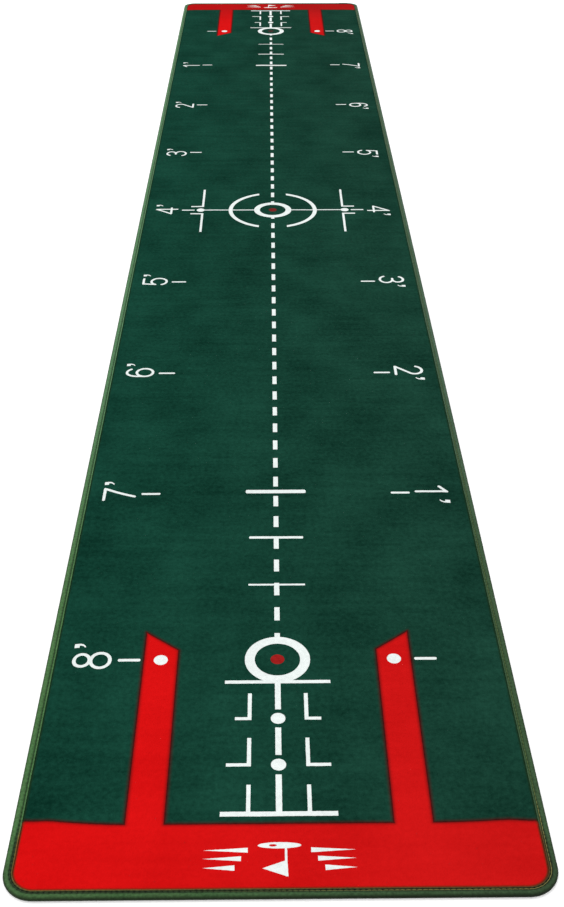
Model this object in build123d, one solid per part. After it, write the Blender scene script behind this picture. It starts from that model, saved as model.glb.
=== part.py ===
from build123d import *
import math
import os

# A roll-out practice putting mat: a rubber backing, a velvet pile face dyed in three colours,
# and a fabric binding tape folded round the whole edge and stitched down.
# Lengths are in millimetres. The origin is the middle of the underside, +Y runs along the mat
# from the near end to the far end, and +Z is up.

# overall sizes
mat_length = 3030.0
mat_width = 500.0
corner_radius = 30.0

# layers, from the floor up
rubber_thickness = 2.0
cloth_thickness = 0.6
pile_height = 2.0

# edge binding and its seam
tape_thickness = 0.6
binding_width = 8.5      # from the outer edge to the free edge of the tape, top and bottom
edge_roll = 2.2          # outer rounding of the folded tape
seam_inset = 6.3         # from the outer edge to the middle of the seam
thread_width = 0.9
thread_depth = 0.35      # how far the thread is pulled into the tape
thread_proud = 0.1       # how far the needle thread stands above the tape

# targets
foot = 304.8
target_to_end = 295.8    # from the outer targets to the mat's ends
ring_outer_radius = 35.3
ring_inner_radius = 24.5
spot_radius = 7.5
dot_radius = 7.6

# red end zones, with two bars that reach past the target
red_edge_to_end = 76.0   # from the mat's end to the inner edge of the red band
gate_bar_to_side = 124.0 # from the mat's side to the middle of each bar
gate_bar_width = 37.4
gate_tip_long = 44.2     # how far a bar's outer side runs past the target
gate_tip_short = 15.2    # the same for its inner side

# dashed centre line, and the three bars across it
line_width = 6.0
dash_length = 22.0
dash_pitch = 42.9        # fitted, so that the run ends at both rings
dash_stub = 6.15         # what shows of the last dash where it meets a ring
distance_bars = (        # distance from the target, length, thickness
    (124.1, 66.0, 3.0),
    (213.0, 66.0, 4.4),
    (308.6, 77.0, 7.4),
)

# alignment ladder between an outer target and the red band
ladder_top_inset = 1.3   # how far the first crossbar's middle lies inside the ring's edge
ladder_dots = (86.3, 147.7)
ladder_base = 208.6
ladder_width = 111.6
ladder_top_thickness = 4.6
ladder_base_thickness = 5.6
ladder_dot_gap = 5.0     # bare pile on each side of a dot in the line
rail_spacing = 58.4      # between the left and right marks of a pair
rail_width = 4.0
rail_lengths = (37.5, 37.0, 35.8)
rail_feet = (17.0, 24.5)

# gate at the middle target
arc_radius = 80.0
arc_width = 7.4
arc_opening = 52.0       # width of the gap between the two arcs
gate_line_width = 3.4
gate_dot_to_side = 113.3
bracket_to_side = 117.0
bracket_reach = 100.0    # how far a bracket runs from the middle of the mat
bracket_gap = 14.7       # from the middle of the mat to a bracket's foot
bracket_width = 4.0
bracket_foot = 22.5
bracket_foot_width = 4.6

# foot marks and their numerals
tick_to_side = 89.8      # from the mat's side to the middle of a tick
tick_length = 24.3
tick_width = 4.0
numeral_to_side = 28.0   # from the mat's side to the top of the numerals
numeral_height = 43.0
numeral_stroke = 3.9
numeral_pitch = 28.0
numeral_right = {        # right-hand edge of each numeral's own space, from the tick's line
    "0": 13.3, "1": 8.6, "2": 7.6, "3": 7.2, "4": 12.5,
    "5": 15.2, "6": 15.8, "7": 14.0, "8": 13.3, "9": 15.8,
}
apostrophe_gap = 7.0

# emblem in each red band
emblem_to_end = 37.5
emblem_height = 34.0
emblem_half_width = 70.0

# levels and lines that follow from the sizes above
half_length = mat_length / 2
half_width = mat_width / 2
cloth_bottom = rubber_thickness
pile_bottom = cloth_bottom + cloth_thickness
pile_top = pile_bottom + pile_height
binding_top = pile_top + tape_thickness
target_y = half_length - target_to_end
red_edge_y = half_length - red_edge_to_end
gate_bar_x = half_width - gate_bar_to_side
ladder_top = ring_outer_radius - ladder_top_inset


def outline(inset):
    """The mat's rounded outline, brought in from the outer edge of the binding."""
    return RectangleRounded(mat_width - 2 * inset, mat_length - 2 * inset, corner_radius - inset)


def slab(sketch, bottom, top):
    """A flat layer of the given outline between two levels."""
    return Pos(0, 0, bottom) * extrude(sketch, top - bottom)


def rolled_slab(inset, bottom, top, roll):
    """A layer whose outer edges are rounded above and below."""
    block = slab(outline(inset), bottom, top)
    rims = block.faces().sort_by(Axis.Z)[0].edges() + block.faces().sort_by(Axis.Z)[-1].edges()
    return fillet(rims, roll)


def far_end(sketch):
    """The same print at the other end, turned half a turn about the middle of the mat."""
    return sketch.rotate(Axis.Z, 180)


def bar(x, y, width, length):
    return Pos(x, y) * Rectangle(width, length)


# ---------------------------------------------------------------- numerals
def line_stroke(*points):
    """A rounded stroke through points in numeral space: right, then up from the baseline."""
    runs = [trace(Line(start, end), numeral_stroke) for start, end in zip(points, points[1:])]
    caps = [Pos(*point) * Circle(numeral_stroke / 2) for point in points]
    return Sketch() + runs + caps


def curve_stroke(edge):
    caps = [Pos(edge @ end) * Circle(numeral_stroke / 2) for end in (0, 1)]
    return Sketch() + trace(edge, numeral_stroke) + caps


def bow(x, y, radius_x, radius_y, start, sweep):
    return curve_stroke(EllipticalCenterArc((x, y), radius_x, radius_y, start, arc_size=sweep))


def bowl(x, y, radius_x, radius_y):
    half = numeral_stroke / 2
    return Pos(x, y) * (Ellipse(radius_x + half, radius_y + half) - Ellipse(radius_x - half, radius_y - half))


def digit(character):
    """One numeral, drawn with a round pen, standing on its baseline beside the tick's line."""
    if character == "0":
        return bowl(0, 21.5, 11.3, 19.5)
    if character == "1":
        return line_stroke((-13.2, 32.6), (-2.6, 41), (-2.6, 2))
    if character == "2":
        return bow(-6.8, 30.2, 11, 10.8, 165, -205) + line_stroke((1.6, 23.3), (-17.4, 2), (5.8, 2))
    if character == "3":
        upper = bow(-7, 32, 10.3, 9, 160, -240)
        lower = bow(-7, 12.6, 12, 10.6, 80, -240)
        return upper + lower + line_stroke((-10, 23.1), (-5, 23.1))
    if character == "4":
        return line_stroke((4.2, 2), (4.2, 41), (-16.6, 13), (10.5, 13))
    if character == "5":
        return line_stroke((12.5, 41), (-6.8, 41), (-9.2, 20.6)) + bow(1.5, 14.8, 12.1, 12.8, 153, -310)
    if character == "6":
        return bowl(2.6, 14, 11.3, 12) + bow(3.1, 24, 11.8, 17, 40, 140) + line_stroke((-8.7, 24), (-8.7, 14))
    if character == "7":
        stem = ThreePointArc((12, 41), (2.6, 22.5), (-5.2, 2))
        return line_stroke((-11.8, 41), (12, 41)) + curve_stroke(stem)
    if character == "8":
        return bowl(0, 12.4, 11.3, 10.4) + bowl(0.3, 32.6, 9.2, 8.4)
    return digit("6").rotate(Axis((2.4, numeral_height / 2), (0, 0, 1)), 180)


def apostrophe():
    """The foot mark: a square head with a tail that curls down to the left."""
    edges = [
        Line((0, 0), (6.2, 0)),
        Line((6.2, 0), (6.2, -5)),
        ThreePointArc((6.2, -5), (4.9, -9.8), (0.6, -13)),
        Line((0.6, -13), (-0.2, -11.8)),
        ThreePointArc((-0.2, -11.8), (2.6, -9.2), (3.2, -5.8)),
        Line((3.2, -5.8), (0, -5.8)),
        Line((0, -5.8), (0, 0)),
    ]
    return make_face(edges)


def numeral(count):
    """A number of feet, with its foot mark, along the reading direction."""
    text = str(count)
    mark_x = numeral_right[text[-1]] + apostrophe_gap
    whole = Sketch() + Pos(mark_x, numeral_height) * apostrophe()
    for place, character in enumerate(reversed(text)):
        whole += Pos(-place * numeral_pitch, 0) * digit(character)
    return whole


def mark_lines():
    """Distance in feet and Y of each mark of the left column, counted from the far target."""
    count = math.floor(2 * target_y / foot + 0.001)
    return [(feet, target_y - feet * foot) for feet in range(count + 1)]


def foot_ticks_left():
    tick = RectangleRounded(tick_length, tick_width, tick_width * 0.4)
    return Sketch() + [Pos(tick_to_side - half_width, y) * tick for feet, y in mark_lines()]


def foot_numerals_left():
    baseline_x = numeral_to_side + numeral_height - half_width
    return Sketch() + [
        Pos(baseline_x, y) * numeral(feet).rotate(Axis.Z, 90) for feet, y in mark_lines() if feet
    ]


# ---------------------------------------------------------------- targets
def target_disc(y):
    return Pos(0, y) * Circle(ring_outer_radius)


def target_ring(y):
    return Pos(0, y) * (Circle(ring_outer_radius) - Circle(ring_inner_radius))


def target_spot(y):
    return Pos(0, y) * Circle(spot_radius)


def ladder_lines():
    """Crossbar, interrupted centre line, base bar and the three pairs of rails at the near end."""
    top_y = -target_y - ladder_top
    base_y = -target_y - ladder_base
    lines = Sketch()
    lines += bar(0, top_y, ladder_width, ladder_top_thickness)
    lines += bar(0, base_y, ladder_width, ladder_base_thickness)
    stops = [top_y]
    for distance in ladder_dots:
        clear = spot_radius + ladder_dot_gap
        stops += [-target_y - distance + clear, -target_y - distance - clear]
    stops += [base_y]
    for start, end in zip(stops[0::2], stops[1::2]):
        lines += bar(0, (start + end) / 2, line_width, start - end)
    rail_x = rail_spacing / 2
    rail_ends = [-target_y - distance - rail_width / 2 for distance in ladder_dots] + [base_y]
    for side in (-1, 1):
        for end, length in zip(rail_ends, rail_lengths):
            lines += bar(side * rail_x, end + length / 2, rail_width, length)
        for end, reach in zip(rail_ends, rail_feet):
            foot_x = side * (rail_x + reach / 2 - rail_width / 2)
            lines += bar(foot_x, end + rail_width / 2, reach, rail_width)
    return lines


def ladder_dots_near():
    return Sketch() + [Pos(0, -target_y - distance) * Circle(spot_radius) for distance in ladder_dots]


def dash_lines():
    """Middle of each dash between the near target and the middle one."""
    reach = target_y / 2 - (ring_outer_radius + dash_stub - dash_length / 2)
    count = round(reach / dash_pitch + 0.5)
    offsets = [(index + 0.5) * reach / (count - 0.5) for index in range(count)]
    return [-target_y / 2 + side * offset for offset in offsets for side in (-1, 1)]


def centre_dashes_near():
    dashes = Sketch() + [bar(0, y, line_width, dash_length) for y in dash_lines()]
    return dashes - target_disc(-target_y) - target_disc(0)


def distance_bars_near():
    return Sketch() + [
        Pos(0, -target_y + distance) * RectangleRounded(length, thickness, thickness * 0.3)
        for distance, length, thickness in distance_bars
    ]


def centre_arcs():
    """The broken circle round the middle target, open towards both ends."""
    ring = Circle(arc_radius + arc_width / 2) - Circle(arc_radius - arc_width / 2)
    return ring - Rectangle(arc_opening, 3 * arc_radius)


def centre_gate_left():
    """Sight line, dot and two brackets on the left of the middle target."""
    dot_x = gate_dot_to_side - half_width
    bracket_x = bracket_to_side - half_width
    gate = Sketch() + Pos(dot_x, 0) * Circle(spot_radius)
    gate += bar(dot_x / 2, 0, -dot_x, gate_line_width) - target_disc(0)
    foot_x = bracket_x + bracket_width / 2 - bracket_foot / 2 - bracket_width / 2
    for side in (-1, 1):
        middle_y = side * (bracket_gap + bracket_reach) / 2
        gate += bar(bracket_x, middle_y, bracket_width, bracket_reach - bracket_gap)
        foot_y = side * (bracket_gap + bracket_foot_width / 2)
        gate += bar(foot_x, foot_y, bracket_foot, bracket_foot_width)
    return gate


# ---------------------------------------------------------------- red zones
def gate_bar_left():
    """One red bar, whose slanted tip is longer on the outer side."""
    outer_x = -gate_bar_x - gate_bar_width / 2
    inner_x = -gate_bar_x + gate_bar_width / 2
    corners = [
        (outer_x, -red_edge_y - 1),
        (inner_x, -red_edge_y - 1),
        (inner_x, -target_y + gate_tip_short),
        (outer_x, -target_y + gate_tip_long),
    ]
    return make_face(Polyline(*corners, close=True))


def red_zone_near():
    band_length = half_length - red_edge_y
    band = outline(tape_thickness) & bar(0, -half_length + band_length / 2, mat_width, band_length)
    left = gate_bar_left()
    return Sketch() + band + left + mirror(left, Plane.YZ)


def gate_dots_near():
    return Sketch() + [Pos(side * gate_bar_x, -target_y) * Circle(dot_radius) for side in (-1, 1)]


def emblem_near():
    """A flagstick on a putting green between tapering bars, its top towards the near end."""
    pole_x = -6.0
    low = -emblem_height / 2
    high = emblem_height / 2
    shapes = Sketch() + (Pos(0, low + 3) * Ellipse(20, 3.4) - Pos(-pole_x, low + 3) * Ellipse(3.6, 1.3))
    shapes += bar(pole_x, (low + high) / 2 + 1.5, 2.2, emblem_height - 3)
    pennant = [(pole_x, high), (pole_x + 22, high - 7.5), (pole_x, high - 15)]
    shapes += make_face(Polyline(*pennant, close=True))
    for side in (-1, 1):
        for level, start in ((-9.0, 29.0), (0.0, 35.0), (9.0, 41.0)):
            taper = [(side * start, level - 2.6), (side * start, level + 2.6), (side * emblem_half_width, level)]
            shapes += make_face(Polyline(*taper, close=True))
    return Pos(0, -half_length + emblem_to_end) * shapes.rotate(Axis.Z, 180)


# ---------------------------------------------------------------- the dyed pile
def dyed_zones():
    """Outline of every dyed zone of the pile, none overlapping another."""
    drawn = {
        "ladder_lines_near": ladder_lines(),
        "ladder_dots_near": ladder_dots_near(),
        "target_ring_near": target_ring(-target_y),
        "target_spot_near": target_spot(-target_y),
        "target_ring_centre": target_ring(0),
        "target_spot_centre": target_spot(0),
        "distance_bars_near": distance_bars_near(),
        "centre_dashes_near": centre_dashes_near(),
        "centre_arcs": centre_arcs(),
        "foot_ticks_left": foot_ticks_left(),
        "foot_numerals_left": foot_numerals_left(),
        "centre_gate_left": centre_gate_left(),
        "gate_dots_near": gate_dots_near(),
        "emblem_near": emblem_near(),
        "red_zone_near": red_zone_near(),
    }
    zones = {}
    claimed = Sketch()
    for name, sketch in drawn.items():
        free = sketch - claimed if claimed.faces() else sketch
        zones[name] = free
        claimed += free
        twin = name.replace("near", "far").replace("left", "right")
        if twin != name:
            zones[twin] = far_end(free)
            claimed += zones[twin]
    return zones, claimed


def mat_blank():
    """The whole mat without its binding: the rim is thinner by the tape folded under it."""
    rim = rolled_slab(tape_thickness, tape_thickness, pile_top, edge_roll - tape_thickness)
    return rim + slab(outline(binding_width), 0, pile_top)


def edge_binding():
    """The tape, folded round the rim and open over the middle of the mat, with its seam grooves."""
    folded = rolled_slab(0, 0, binding_top, edge_roll)
    tape = folded - slab(outline(binding_width), 0, binding_top) - mat_blank()
    return tape - needle_thread() - bobbin_thread()


def seam_line():
    half = thread_width / 2
    return outline(seam_inset - half) - outline(seam_inset + half)


def needle_thread():
    return slab(seam_line(), binding_top - thread_depth, binding_top + thread_proud)


def bobbin_thread():
    return slab(seam_line(), 0, thread_depth)


def build():
    blank = mat_blank()
    whole = outline(0)
    parts = {
        "rubber_backing": blank & slab(whole, 0, rubber_thickness),
        "ground_cloth": blank & slab(whole, cloth_bottom, pile_bottom),
        "edge_binding": edge_binding(),
        "needle_thread": needle_thread(),
        "bobbin_thread": bobbin_thread(),
    }
    zones, claimed = dyed_zones()
    pile = blank & slab(whole, pile_bottom, pile_top)
    green = pile - slab(claimed, pile_bottom, pile_top)
    field = max(green.solids(), key=lambda solid: solid.volume)
    parts["green_field"] = field
    parts["green_islands"] = Compound([solid for solid in green.solids() if solid != field])
    for name, sketch in zones.items():
        zone = slab(sketch, pile_bottom, pile_top)
        parts[name] = zone & pile if name.startswith("red_zone") else zone
    return parts


os.makedirs("parts", exist_ok=True)
for name, shape in build().items():
    shape.label = name
    export_step(shape, f"parts/{name}.step")
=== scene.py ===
import math

import bpy
import numpy as np
from mathutils import Matrix, Vector, kdtree, noise
from mathutils.geometry import delaunay_2d_cdt


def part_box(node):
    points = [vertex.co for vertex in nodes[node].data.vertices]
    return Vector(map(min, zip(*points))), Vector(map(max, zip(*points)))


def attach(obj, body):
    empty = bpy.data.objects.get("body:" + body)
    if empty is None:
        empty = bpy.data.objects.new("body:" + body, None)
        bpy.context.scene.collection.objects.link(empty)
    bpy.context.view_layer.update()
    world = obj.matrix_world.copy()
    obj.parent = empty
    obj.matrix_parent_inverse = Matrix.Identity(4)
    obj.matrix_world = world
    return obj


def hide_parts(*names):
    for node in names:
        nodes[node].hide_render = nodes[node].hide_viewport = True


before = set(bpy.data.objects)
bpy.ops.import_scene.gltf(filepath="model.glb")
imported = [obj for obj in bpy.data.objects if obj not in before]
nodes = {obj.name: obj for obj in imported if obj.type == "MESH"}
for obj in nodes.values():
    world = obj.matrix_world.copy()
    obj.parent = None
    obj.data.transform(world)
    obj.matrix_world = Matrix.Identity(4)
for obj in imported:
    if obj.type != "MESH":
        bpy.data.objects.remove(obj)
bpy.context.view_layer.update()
mm = 0.001
plain = (1, 1, 1, 1)  # white, or a tint that changes nothing
rowShare = 0.866  # how far apart the rows of a staggered grid lie, as a share of its pitch

# the mat's levels and outline, read from its parts
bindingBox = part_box("edge_binding")
mat = {
    "halfWidth": bindingBox[1].x,
    "halfLength": bindingBox[1].y,
    "cornerRadius": 30 * mm,
    "pileTop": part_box("green_field")[1].z,
    "pileBottom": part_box("green_field")[0].z,
    "tapeWidth": 8.5 * mm,
    "tapeThickness": 0.6 * mm,
    "rimInset": 2.2 * mm,  # where the flat of the pile ends, under the tape
    "seamInset": 6.3 * mm,  # where the stitches lie
}
print("frame loaded:", len(nodes), "parts")


def insetOf(x, y):  # how far points lie in from the mat's outer edge
    qx = np.abs(x) - (mat["halfWidth"] - mat["cornerRadius"])
    qy = np.abs(y) - (mat["halfLength"] - mat["cornerRadius"])
    outer = np.hypot(np.maximum(qx, 0), np.maximum(qy, 0)) + np.minimum(np.maximum(qx, qy), 0)
    return mat["cornerRadius"] - outer


def outlineStations(inset, straightStep, cornerSteps):
    # points round the outline with their inward directions, from the far end, leftwards
    halfX = mat["halfWidth"] - mat["cornerRadius"]
    halfY = mat["halfLength"] - mat["cornerRadius"]
    radius = mat["cornerRadius"] - inset
    corners = [(-halfX, halfY, 90), (-halfX, -halfY, 180), (halfX, -halfY, 270), (halfX, halfY, 0)]
    runs = [2 * halfX, 2 * halfY, 2 * halfX, 2 * halfY]
    spots = []
    for (cx, cy, angle), run in zip(corners, runs):
        outward = Vector((math.cos(math.radians(angle)), math.sin(math.radians(angle))))
        forward = Vector((-outward.y, outward.x))
        count = round(run / straightStep)
        for index in range(count):
            spot = Vector((cx, cy)) + outward * radius - forward * run * (1 - index / count)
            spots.append((spot, -outward))
        for index in range(cornerSteps):
            turned = math.radians(angle + 90 * index / cornerSteps)
            outwardHere = Vector((math.cos(turned), math.sin(turned)))
            spots.append((Vector((cx, cy)) + outwardHere * radius, -outwardHere))
    return spots


def smooth(mesh, angle):  # shades it smoothly, apart from edges sharper than the angle
    mesh.shade_smooth()
    mesh.set_sharp_from_angle(angle=math.radians(angle))


def newMesh(name, verts, faces, material, smoothAngle=None):
    mesh = bpy.data.meshes.new(name)
    mesh.from_pydata(verts, [], faces)
    mesh.update()
    piece = bpy.data.objects.new(name, mesh)
    bpy.context.scene.collection.objects.link(piece)
    mesh.materials.append(material)
    if smoothAngle:
        smooth(mesh, smoothAngle)
    return piece


# shader groups and materials
def addNode(tree, kind, links=(), **values):
    node = tree.nodes.new(kind)
    for key, value in values.items():
        setattr(node, key, value)
    for socket, source in dict(links).items():
        target = node.inputs[socket]
        if isinstance(source, bpy.types.NodeSocket):
            tree.links.new(source, target)
        else:
            target.default_value = source
    return node


def made(tree, kind, links=(), **values):  # adds a node and gives its first output
    return addNode(tree, kind, links, **values).outputs[0]


def mathNode(tree, operation, first, second=0.0, clamp=False):
    return made(tree, "ShaderNodeMath", {0: first, 1: second}, operation=operation, use_clamp=clamp)


def times(tree, first, second, clamp=False):
    return mathNode(tree, "MULTIPLY", first, second, clamp)


def plus(tree, first, second):
    return mathNode(tree, "ADD", first, second)


def minus(tree, first, second, clamp=False):
    return mathNode(tree, "SUBTRACT", first, second, clamp)


def weighted(tree, start, *shares):
    # a starting value plus a share of each other value
    for source, weight in shares:
        start = plus(tree, start, times(tree, source, weight))
    return start


def limited(tree, value):  # kept between 0 and 1
    return mathNode(tree, "MINIMUM", mathNode(tree, "MAXIMUM", value, 0.0), 1.0)


def objectPlace(tree):
    return addNode(tree, "ShaderNodeTexCoord").outputs["Object"]


def attribute(tree, label):
    return addNode(tree, "ShaderNodeAttribute", attribute_name=label).outputs["Fac"]


def axes(tree, vector):
    return addNode(tree, "ShaderNodeSeparateXYZ", {0: vector}).outputs


def vectorOf(tree, x=0.0, y=0.0, z=0.0):
    return made(tree, "ShaderNodeCombineXYZ", {0: x, 1: y, 2: z})


def mixColour(tree, factor, first, second, blend="MIX"):
    node = addNode(tree, "ShaderNodeMix", data_type="RGBA", blend_type=blend)
    for index, source in ((0, factor), (6, first), (7, second)):
        if isinstance(source, bpy.types.NodeSocket):
            tree.links.new(source, node.inputs[index])
        else:
            node.inputs[index].default_value = source
    return node.outputs[2]


def tinted(tree, colour, tint):
    return mixColour(tree, 1.0, colour, tint, "MULTIPLY")


def noiseNode(tree, vector, scale, detail=2.0, rough=0.5):
    return addNode(tree, "ShaderNodeTexNoise",
                   {"Vector": vector, "Scale": scale, "Detail": detail, "Roughness": rough}).outputs["Fac"]


def stretched(tree, vector, scale):
    return made(tree, "ShaderNodeMapping", {"Vector": vector, "Scale": scale})


def newGroup(name, inputs, outputs):
    group = bpy.data.node_groups.new(name, "ShaderNodeTree")
    for label, kind, value in inputs:
        socket = group.interface.new_socket(name=label, in_out="INPUT", socket_type="NodeSocket" + kind)
        if value is not None:
            socket.default_value = value
    for label, kind in outputs:
        group.interface.new_socket(name=label, in_out="OUTPUT", socket_type="NodeSocket" + kind)
    return group, group.nodes.new("NodeGroupInput").outputs, group.nodes.new("NodeGroupOutput").inputs


def makeBrushedPile():
    # cut pile seen from above: cloudy patches, brush marks across the mat, and tufts
    group, given, out = newGroup("brushedPile", [
        ("Vector", "Vector", None),
        ("Deep", "Color", (0.01, 0.05, 0.03, 1)),
        ("Bright", "Color", (0.02, 0.09, 0.06, 1)),
        ("Patches", "Float", 0.5),
        ("Brush marks", "Float", 0.4),
        ("Speckle", "Float", 0.5),
    ], [("Color", "Color"), ("Height", "Float"), ("Roughness", "Float")])
    place = given["Vector"]
    patches = noiseNode(group, stretched(group, place, (1.0, 0.75, 1.0)), 11.0, 3.0, 0.55)
    marks = noiseNode(group, stretched(group, place, (7.0, 75.0, 1.0)), 1.0, 3.0, 0.6)
    clumps = noiseNode(group, place, 190.0, 3.0, 0.65)
    fibres = noiseNode(group, place, 1250.0, 2.0, 0.6)
    tufts = addNode(group, "ShaderNodeTexVoronoi", {"Vector": place, "Scale": 1500.0}).outputs["Distance"]
    shade = 0.5
    for source, weight, spread in ((patches, given["Patches"], 3.0), (marks, given["Brush marks"], 2.6),
                                   (clumps, given["Speckle"], 2.4), (fibres, given["Speckle"], 1.5)):
        shade = weighted(group, shade, (times(group, minus(group, source, 0.5), spread), weight))
    group.links.new(mixColour(group, limited(group, shade), given["Deep"], given["Bright"]), out["Color"])
    group.links.new(weighted(group, 0.0, (clumps, 1.6), (fibres, 0.7), (tufts, -0.5)), out["Height"])
    group.links.new(weighted(group, 0.8, (clumps, 0.16)), out["Roughness"])
    return group


def makeTwill():
    # diagonal ribs of a woven tape or cloth: the vector is in metres, along and across the cloth
    group, given, out = newGroup("twillWeave", [
        ("Vector", "Vector", None),
        ("Ribs per metre", "Float", 1100.0),
        ("Slant", "Float", 1.0),
        ("Shadow", "Color", (0.05, 0.1, 0.04, 1)),
        ("Thread", "Color", (0.1, 0.2, 0.08, 1)),
    ], [("Color", "Color"), ("Height", "Float"), ("Roughness", "Float")])
    place, ribCount = given["Vector"], given["Ribs per metre"]
    along, across, up = axes(group, place)
    slanted = plus(group, along, times(group, across, given["Slant"]))
    turn = times(group, times(group, slanted, ribCount), math.tau)
    cross = times(group, times(group, across, ribCount), 3 * math.tau)
    ribs = weighted(group, 0.5, (mathNode(group, "SINE", turn), 0.5))
    picks = weighted(group, 0.5, (mathNode(group, "SINE", cross), 0.5))
    height = weighted(group, 0.0, (ribs, 0.7), (picks, 0.3))
    fade = noiseNode(group, place, 45.0, 3.0, 0.6)
    slubs = noiseNode(group, place, 380.0, 2.0, 0.65)
    fuzz = noiseNode(group, place, 1700.0, 1.0)
    shade = limited(group, weighted(group, -1.4, (height, 0.5), (fade, 0.6), (slubs, 2.4), (fuzz, 0.3)))
    group.links.new(mixColour(group, shade, given["Shadow"], given["Thread"]), out["Color"])
    group.links.new(height, out["Height"])
    group.links.new(weighted(group, 0.62, (fuzz, 0.25)), out["Roughness"])
    return group


def makeLint():
    # pale dust and lint that settles in patches
    group, given, out = newGroup("settledLint", [
        ("Vector", "Vector", None),
        ("Amount", "Float", 0.3),
        ("Color", "Color", (0.5, 0.5, 0.5, 1)),
        ("Dust", "Color", (0.5, 0.5, 0.47, 1)),
    ], [("Color", "Color"), ("Mask", "Float")])
    patches = noiseNode(group, given["Vector"], 26.0, 4.0, 0.65)
    specks = noiseNode(group, given["Vector"], 900.0, 2.0, 0.7)
    mask = times(group, times(group, patches, specks), given["Amount"], True)
    group.links.new(mixColour(group, mask, given["Color"], given["Dust"]), out["Color"])
    group.links.new(mask, out["Mask"])
    return group


def makeTintByPlace():
    # a tint that changes slowly from one place on the mat to another, which also carries painted light and
    # shade
    group, given, out = newGroup("sunFade", [
        ("Color", "Color", (0.5, 0.5, 0.5, 1)),
        ("Place", "Float", 0.0),
        ("From", "Float", -0.25),
        ("To", "Float", 0.25),
        ("Start tint", "Color", plain),
        ("End tint", "Color", plain),
    ], [("Color", "Color")])
    share = made(group, "ShaderNodeMapRange",
                 {"Value": given["Place"], "From Min": given["From"], "From Max": given["To"]},
                 interpolation_type="SMOOTHSTEP")
    tint = mixColour(group, share, given["Start tint"], given["End tint"])
    group.links.new(tinted(group, given["Color"], tint), out["Color"])
    return group


brushedPile = makeBrushedPile()
sunFade = makeTintByPlace()
twillWeave = makeTwill()
settledLint = makeLint()


def newMaterial(name, **shaderValues):
    material = bpy.data.materials.new(name)
    material.use_nodes = True
    tree = material.node_tree
    shader = tree.nodes["Principled BSDF"]
    for label, value in shaderValues.items():
        shader.inputs[label].default_value = value
    return material, tree, shader


def useGroup(tree, group, links):
    node = tree.nodes.new("ShaderNodeGroup")
    node.node_tree = group
    for label, source in links.items():
        if isinstance(source, bpy.types.NodeSocket):
            tree.links.new(source, node.inputs[label])
        else:
            node.inputs[label].default_value = source
    return node.outputs


def finishShader(tree, shader, colour, roughness, height, depth, strength):
    bump = addNode(tree, "ShaderNodeBump", {"Height": height, "Distance": depth, "Strength": strength})
    for label, source in (("Base Color", colour), ("Roughness", roughness), ("Normal", bump.outputs[0])):
        tree.links.new(source, shader.inputs[label])


def fadedAlong(tree, colour, place, span, startTint=plain, endTint=plain):
    # tints a colour by where it lies between the two ends of a span
    return useGroup(tree, sunFade, {"Color": colour, "Place": place, "From": span[0], "To": span[1],
                                    "Start tint": startTint, "End tint": endTint})["Color"]


pileLook = {
    "sheen": 0.02,
    "acrossSpan": (-0.25, 0.25),  # where the tints of the left and right sides begin and end
    "bleedColour": (0.05, 0.006, 0.0055, 1),  # red and green dye run together
    "fluffColour": (0.025, 0.07, 0.025, 1),  # the tape's fluff, caught in the dipped pile beside it
    "fluffPerMetre": 700.0,
    "bump": 0.6 * mm,
}


def pileMaterial(name, deep, bright, patches, marks, speckle, leftTint=plain, rightTint=plain,
                 farTint=plain, farSpan=(-1.2, 1.2), rimShade=0.42):
    material, tree, shader = newMaterial(name, **{
        "Sheen Weight": pileLook["sheen"], "Sheen Roughness": 0.6, "Sheen Tint": bright,
        "Specular IOR Level": 0.004})
    place = objectPlace(tree)
    x, y, z = axes(tree, place)
    grain = useGroup(tree, brushedPile, {"Vector": place, "Deep": deep, "Bright": bright,
                                         "Patches": patches, "Brush marks": marks, "Speckle": speckle})
    faded = fadedAlong(tree, grain["Color"], x, pileLook["acrossSpan"], leftTint, rightTint)
    faded = fadedAlong(tree, faded, y, farSpan, plain, farTint)
    dyed = mixColour(tree, attribute(tree, "bleed"), faded, pileLook["bleedColour"])
    # painted shade: the pile is darkened in the dip beside the tape
    crushed = attribute(tree, "crushed")
    shaded = tinted(tree, dyed, mixColour(tree, crushed, plain, (rimShade, rimShade, rimShade, 1)))
    fluff = times(tree, crushed, noiseNode(tree, place, pileLook["fluffPerMetre"], 2.0, 0.7))
    finishShader(tree, shader, mixColour(tree, fluff, shaded, pileLook["fluffColour"]),
                 grain["Roughness"], grain["Height"], pileLook["bump"], 0.8)
    return material


tapeLook = {
    "shadow": (0.022, 0.062, 0.020, 1),
    "thread": (0.066, 0.155, 0.058, 1),
    "ribsPerMetre": 900.0,
    "dust": (0.2, 0.25, 0.13, 1),
    "grooveShade": (0.05, 0.2, 0.07, 1),  # painted shade in the groove that the stitches pull
    "lipShade": (1.35, 1.3, 1.4, 1),  # lighter along the free edge
    "lipWidth": 1.4 * mm,
    "soil": (0.2, 0.19, 0.16, 1),  # painted shade on the rim's side, near the floor
    "soilFrom": 6.3 * mm,  # across the tape, from its free edge
    "soilReach": 2.4 * mm,
    "acrossSpan": (-0.25, 0.25),  # painted light: the left side is paler than the right
    "leftTint": (1.03, 1.22, 1.03, 1),
    "rightTint": (0.62, 0.63, 0.67, 1),
    "farSpan": (-1.2, -0.5),  # the tape is paler from here on, towards the far end
    "farTint": (1.35, 1.3, 1.8, 1),
    "nearSpan": (-1.495, -1.44),  # and darker at the near end: painted shade
    "nearTint": (0.8, 0.76, 0.78, 1),
    "nearGrooveSpan": (-1.47, -1.41),  # where the painted shade in its groove turns darker and wider
    "nearGrooveTint": (0.3, 0.2, 0.25, 1),
    "nearGrooveGain": 2.4,
    "redLipSpan": (-1.455, -1.43),  # where red fluff clings to its free edge
    "redLipTint": (3.0, 0.62, 0.35, 1),
}


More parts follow.
